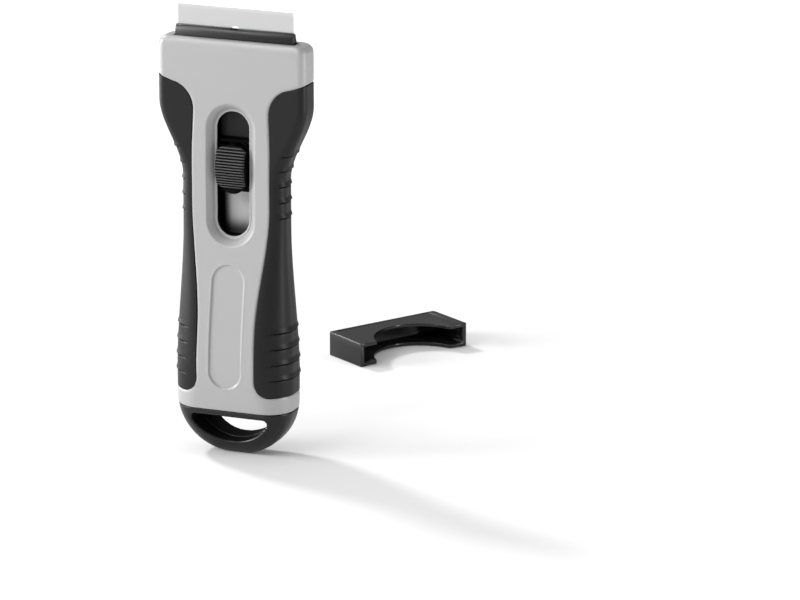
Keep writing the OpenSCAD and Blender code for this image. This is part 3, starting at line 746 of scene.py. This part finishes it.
def blade_material():
    """Brushed steel, with a duller strip along the ground edge."""
    mat = new_material("ground_steel", STEEL, 0.3, metallic=1.0, grain_scale=2500, mottle=0.0)
    tree = mat.node_tree
    shader = tree.nodes["Principled BSDF"]
    place = add_node(tree, "TexCoord")
    split = add_node(tree, "SeparateXYZ")
    strip = add_node(tree, "MapRange", From_Min=GROUND_FROM, From_Max=GROUND_TO)
    metallic = add_node(tree, "MapRange", To_Min=1.0, To_Max=0.25)
    stretch = add_node(tree, "Mapping", Scale=(60, 60, 4000))
    brush = add_node(tree, "TexNoise", Scale=1.0, Detail=4)
    rough = add_node(tree, "MapRange", To_Min=0.24, To_Max=0.38)
    wire(tree, (place.outputs["Object"], split.inputs[0]),
         (split.outputs["Z"], strip.inputs["Value"]),
         (strip.outputs["Result"], metallic.inputs["Value"]),
         (metallic.outputs["Result"], shader.inputs["Metallic"]),
         (place.outputs["Object"], stretch.inputs["Vector"]),
         (stretch.outputs["Vector"], brush.inputs["Vector"]),
         (brush.outputs["Fac"], rough.inputs["Value"]),
         (rough.outputs["Result"], shader.inputs["Roughness"]))
    mix_colours(tree, strip.outputs["Result"], STEEL, grey(0.7))
    return mat


def place_axes(tree):
    """Distance from the middle and height of the shaded point, in metres."""
    place = add_node(tree, "TexCoord")
    split = add_node(tree, "SeparateXYZ")
    size = add_node(tree, "Math")
    size.operation = "ABSOLUTE"
    wire(tree, (place.outputs["Object"], split.inputs[0]), (split.outputs["X"], size.inputs[0]))
    return size.outputs[0], split.outputs["Z"]


def ramp(tree, value, start, end, a, b):
    """Smooth step from a to b while the value runs from start to end."""
    node = add_node(tree, "MapRange", From_Min=start, From_Max=end, To_Min=a, To_Max=b)
    node.interpolation_type = "SMOOTHSTEP"
    wire(tree, (value, node.inputs["Value"]))
    return node.outputs["Result"]


def joined(tree, operation, a, b):
    node = add_node(tree, "Math")
    node.operation = operation
    wire(tree, (a, node.inputs[0]), (b, node.inputs[1]))
    return node.outputs[0]


def inner_material():
    """Light channel floor with painted shade that darkens it towards its sides and its foot."""
    mat = new_material("inner_face_painted_shade", grey(0.8), 0.45, spec=0.4)
    tree = mat.node_tree
    off, height = place_axes(tree)
    # Painted shade: the mask falls towards the channel's sides and its foot, and the floor darkens
    # with it
    mask = joined(tree, "MULTIPLY", ramp(tree, off, 0.0028, 0.0057, 1, 0),
                  ramp(tree, height, 0.0712, 0.0765, 0.12, 1))
    mix_colours(tree, mask, grey(0.004), grey(0.8))
    return mat


def carrier_material():
    """Black slide with painted shade: its tray and the margins beside its plate are darker and less
    glossy.
    """
    mat = new_material("carrier_black_painted_shade", grey(0.012), 0.42, grain=0.2, edge=0.12, spec=0.3)
    tree = mat.node_tree
    off, height = place_axes(tree)
    # Painted shade: the mask is 0 in the margins beside the plate and on the tray below it, which
    # get a darker colour and a weaker reflection
    plate = joined(tree, "MAXIMUM", ramp(tree, off, 0.0052, 0.0058, 1, 0),
                   ramp(tree, height, 0.1125, 0.1135, 0, 1))
    mask = joined(tree, "MULTIPLY", plate, ramp(tree, height, 0.1021, 0.1029, 0, 1))
    mix_colours(tree, mask, grey(0.003), grey(0.012))
    wire(tree, (ramp(tree, mask, 0, 1, 0.04, 0.32),
                tree.nodes["Principled BSDF"].inputs["Specular IOR Level"]))
    return mat


# Name, colour (none where the looks' properties give it), roughness and new_material's other values
PLAIN = {
    "shell": ("silver_plastic", None, 0.42,
              dict(metallic=0.12, grain=0.12, grain_scale=2500, edge=0.3, mottle=0.04)),
    "grip": ("soft_rubber", None, 0.4, dict(grain=0.25, grain_scale=1800, mottle=0.06, spec=0.26)),
    "cap": ("gloss_black", grey(0.004), 0.28, dict(grain=0.08, edge=0.35, mottle=0.03, spec=0.55)),
    "jaw": ("jaw_black", grey(0.005), 0.36, dict(grain=0.2, edge=0.2, spec=0.7)),
    "button": ("button_black", grey(0.016), 0.28, dict(grain=0.15, spec=1.0)),
    "guard": ("guard_black", grey(0.008), 0.2, dict(grain=0.12, edge=0.32, mottle=0.04, spec=0.6)),
    # Near-black, almost unreflective material for painted shade in slot, channel, grip grooves,
    # hanging hole and under the button
    "painted_shade": ("painted_shade_black", grey(0.003), 0.6, dict(grain=0.15, spec=0.05)),
    "steel": ("zinc_steel", (0.5, 0.5, 0.51), 0.35, dict(metallic=1.0, edge=0.1)),
}
SPECIAL = {"carrier": carrier_material, "inner": inner_material, "blade": blade_material}
MATERIALS = {}


def material(key):
    """Material by its key, made when it is first asked for."""
    if key not in MATERIALS:
        if key in SPECIAL:
            MATERIALS[key] = SPECIAL[key]()
        else:
            look = bpy.context.scene.scraper_looks
            tones = {"shell": grey(look.shell_tone), "grip": grey(look.grip_tone)}
            name, base, rough, others = PLAIN[key]
            MATERIALS[key] = new_material(name, tones.get(key, base), rough, **others)
    return MATERIALS[key]


def paint_node(node, key):
    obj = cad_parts[node]
    obj.data.materials.clear()
    obj.data.materials.append(material(key))


class ScraperLooks(bpy.types.PropertyGroup):
    shell_tone: bpy.props.FloatProperty(
        name="Shell tone", description="Brightness of the shells", default=0.43, min=0, max=1)
    grip_tone: bpy.props.FloatProperty(
        name="Grip tone", description="Brightness of the soft grips", default=0.013, min=0, max=1)


class ScraperStage(bpy.types.PropertyGroup):
    lens: bpy.props.FloatProperty(
        name="Lens", description="Focal length of the camera", default=234.9, unit="CAMERA")
    camera_at: bpy.props.FloatVectorProperty(
        name="Camera", description="Place of the camera", default=(0.6280, -1.4556, 0.4988),
        unit="LENGTH")
    tilt: bpy.props.FloatProperty(
        name="Tilt", description="Camera tilt from straight down", default=math.radians(74.17),
        unit="ROTATION")
    turn: bpy.props.FloatProperty(
        name="Turn", description="Camera turn about the vertical", default=math.radians(21.49),
        unit="ROTATION")
    sun_height: bpy.props.FloatProperty(
        name="Sun height", description="Elevation of the key light", default=math.radians(43),
        unit="ROTATION")
    sun_turn: bpy.props.FloatProperty(
        name="Sun turn", description="Direction the key light comes from",
        default=math.radians(154.5), unit="ROTATION")
    sun_power: bpy.props.FloatProperty(
        name="Sun power", description="Strength of the key light", default=1.6, min=0)
    fill: bpy.props.FloatProperty(
        name="Fill", description="Strength of the surrounding light", default=0.46, min=0)
    glow: bpy.props.FloatProperty(
        name="Glow", description="Lift of the white table for the camera", default=0.03, min=0)


class SCRAPER_OT_shells(bpy.types.Operator):
    """Builds the two shells of the housing"""
    bl_idname = "scraper.shells"
    bl_label = "Shells"

    def execute(self, context):
        build_shell(True, material("shell"), material("painted_shade"), material("inner"))
        build_shell(False, material("shell"), material("painted_shade"), material("inner"))
        return {"FINISHED"}


class SCRAPER_OT_grips(bpy.types.Operator):
    """Builds the two ribbed soft grips"""
    bl_idname = "scraper.grips"
    bl_label = "Grips"

    def execute(self, context):
        build_grip(1, material("grip"), material("painted_shade"))
        build_grip(-1, material("grip"), material("painted_shade"))
        return {"FINISHED"}


class SCRAPER_OT_cap(bpy.types.Operator):
    """Builds the end cap with the hanging hole"""
    bl_idname = "scraper.cap"
    bl_label = "End cap"

    def execute(self, context):
        build_cap(material("cap"), material("painted_shade"))
        return {"FINISHED"}


class SCRAPER_OT_button(bpy.types.Operator):
    """Builds the ridged thumb button"""
    bl_idname = "scraper.button"
    bl_label = "Thumb button"

    def execute(self, context):
        build_button(material("button"), material("painted_shade"))
        return {"FINISHED"}


class SCRAPER_OT_jaws(bpy.types.Operator):
    """Builds the jaw moulding and gives the carrier, the blade, the lock spring and the screws
    their materials
    """
    bl_idname = "scraper.jaws"
    bl_label = "Jaws and blade"

    def execute(self, context):
        softened_node("jaw_cover", "jaw_moulding", "slider", material("jaw"), 0.18)
        paint_node("blade_carrier", "carrier")
        paint_node("blade", "blade")
        paint_node("lock_spring", "steel")
        paint_node("housing_screws", "steel")
        return {"FINISHED"}


class SCRAPER_OT_guard(bpy.types.Operator):
    """Builds the loose blade guard"""
    bl_idname = "scraper.guard"
    bl_label = "Blade guard"

    def execute(self, context):
        softened_node("blade_guard", "guard_moulding", "guard", material("guard"), 0.18)
        return {"FINISHED"}


class SCRAPER_OT_stage(bpy.types.Operator):
    """Builds the floor, the lights and the camera"""
    bl_idname = "scraper.stage"
    bl_label = "Stage"

    def execute(self, context):
        stage = context.scene.scraper_stage
        build_floor(stage)
        build_world(stage.fill)
        build_lights(stage)
        cam = bpy.data.cameras.new("camera")
        cam.lens, cam.sensor_width = stage.lens, 36
        cam.clip_start, cam.clip_end = 0.05, 20
        obj = bpy.data.objects.new("camera", cam)
        obj.location = stage.camera_at
        obj.rotation_euler = (stage.tilt, 0, stage.turn)
        context.scene.collection.objects.link(obj)
        context.scene.camera = obj
        context.scene.view_settings.view_transform = "Standard"
        return {"FINISHED"}


def build_floor(stage):
    """White table, lifted a little for the camera and dimmer in reflections."""
    h, z = FLOOR_HALF, FLOOR_Z
    mesh = bpy.data.meshes.new("floor")
    mesh.from_pydata([(-h, -h, z), (h, -h, z), (h, h, z), (-h, h, z)], [], [(0, 1, 2, 3)])
    floor = bpy.data.objects.new("floor", mesh)
    bpy.context.scene.collection.objects.link(floor)
    mat = bpy.data.materials.new("white_table")
    mat.use_nodes = True
    tree = mat.node_tree
    tree.nodes.clear()
    out = add_node(tree, "OutputMaterial")
    paper = add_node(tree, "BsdfDiffuse", Color=(*grey(0.86), 1))
    reflected = add_node(tree, "BsdfDiffuse", Color=(*grey(0.6), 1))
    glow = add_node(tree, "Emission", Color=WHITE)
    place = add_node(tree, "TexCoord")
    reach = add_node(tree, "VectorMath")
    reach.operation = "LENGTH"
    wire(tree, (place.outputs["Object"], reach.inputs[0]))
    strength = ramp(tree, reach.outputs["Value"], GLOW_FROM, GLOW_TO,
                    stage.glow, stage.glow + GLOW_RISE)
    to_camera = add_node(tree, "AddShader")
    others = add_node(tree, "MixShader")
    mix = add_node(tree, "MixShader")
    path = add_node(tree, "LightPath")
    wire(tree, (strength, glow.inputs["Strength"]),
         (path.outputs["Is Glossy Ray"], others.inputs[0]),
         (paper.outputs[0], others.inputs[1]), (reflected.outputs[0], others.inputs[2]),
         (paper.outputs[0], to_camera.inputs[0]), (glow.outputs[0], to_camera.inputs[1]),
         (path.outputs["Is Camera Ray"], mix.inputs[0]),
         (others.outputs[0], mix.inputs[1]), (to_camera.outputs[0], mix.inputs[2]),
         (mix.outputs[0], out.inputs["Surface"]))
    mesh.materials.append(mat)


def build_world(fill):
    """Soft light from above and the left for the objects, plain white for the camera."""
    world = bpy.data.worlds.new("studio")
    bpy.context.scene.world = world
    world.use_nodes = True
    tree = world.node_tree
    tree.nodes.clear()
    out = add_node(tree, "OutputWorld")
    place = add_node(tree, "TexCoord")
    split = add_node(tree, "SeparateXYZ")
    up = add_node(tree, "MapRange", From_Min=0.1, From_Max=0.9,
                  To_Min=0.25 * fill, To_Max=1.35 * fill)
    side = add_node(tree, "MapRange", From_Min=-1, From_Max=1, To_Min=1.65, To_Max=0.35)
    soft = add_node(tree, "Background", Color=WHITE)
    white = add_node(tree, "Background", Color=WHITE)
    mix = add_node(tree, "MixShader")
    path = add_node(tree, "LightPath")
    wire(tree, (place.outputs["Generated"], split.inputs[0]),
         (split.outputs["Z"], up.inputs["Value"]), (split.outputs["X"], side.inputs["Value"]),
         (joined(tree, "MULTIPLY", up.outputs["Result"], side.outputs["Result"]),
          soft.inputs["Strength"]),
         (path.outputs["Is Camera Ray"], mix.inputs[0]),
         (soft.outputs[0], mix.inputs[1]), (white.outputs[0], mix.inputs[2]),
         (mix.outputs[0], out.inputs["Surface"]))


def aim_along(obj, direction):
    obj.rotation_mode = "QUATERNION"
    obj.rotation_quaternion = direction.to_track_quat("-Z", "Y")


def add_area(name, at, aim, size, power, on_surfaces):
    light = bpy.data.lights.new(name, "AREA")
    light.shape = "RECTANGLE"
    light.size, light.size_y = size
    light.energy = power
    obj = bpy.data.objects.new(name, light)
    obj.location = at
    aim_along(obj, Vector(aim) - Vector(at))
    obj.visible_camera = False
    obj.visible_diffuse = on_surfaces
    bpy.context.scene.collection.objects.link(obj)


def build_lights(stage):
    sun = bpy.data.lights.new("key", "SUN")
    sun.energy, sun.angle = stage.sun_power, math.radians(SUN_ANGLE)
    obj = bpy.data.objects.new("key", sun)
    e, a = stage.sun_height, stage.sun_turn
    towards = Vector((math.cos(a) * math.cos(e), math.sin(a) * math.cos(e), math.sin(e)))
    aim_along(obj, -towards)
    bpy.context.scene.collection.objects.link(obj)
    for area in AREAS:
        add_area(*area)


class SCRAPER_PT_panel(bpy.types.Panel):
    bl_label = "Ceramic hob scraper"
    bl_idname = "SCRAPER_PT_panel"
    bl_space_type = "VIEW_3D"
    bl_region_type = "UI"
    bl_category = "Scraper"

    def draw(self, context):
        for group in (context.scene.scraper_looks, context.scene.scraper_stage):
            for prop in group.bl_rna.properties.keys():
                if prop not in ("rna_type", "name"):
                    self.layout.prop(group, prop)
        for step in STEPS:
            self.layout.operator(step.bl_idname)


STEPS = (SCRAPER_OT_shells, SCRAPER_OT_grips, SCRAPER_OT_cap, SCRAPER_OT_button,
         SCRAPER_OT_jaws, SCRAPER_OT_guard, SCRAPER_OT_stage)
CLASSES = (ScraperLooks, ScraperStage, *STEPS, SCRAPER_PT_panel)


def register():
    for cls in CLASSES:
        bpy.utils.register_class(cls)
    bpy.types.Scene.scraper_looks = bpy.props.PointerProperty(type=ScraperLooks)
    bpy.types.Scene.scraper_stage = bpy.props.PointerProperty(type=ScraperStage)


def unregister():
    del bpy.types.Scene.scraper_looks
    del bpy.types.Scene.scraper_stage
    for cls in reversed(CLASSES):
        bpy.utils.unregister_class(cls)


def main():
    register()
    bpy.ops.scraper.shells()
    bpy.ops.scraper.grips()
    bpy.ops.scraper.cap()
    bpy.ops.scraper.button()
    bpy.ops.scraper.jaws()
    bpy.ops.scraper.guard()
    bpy.ops.scraper.stage()


if __name__ == "__main__":
    main()
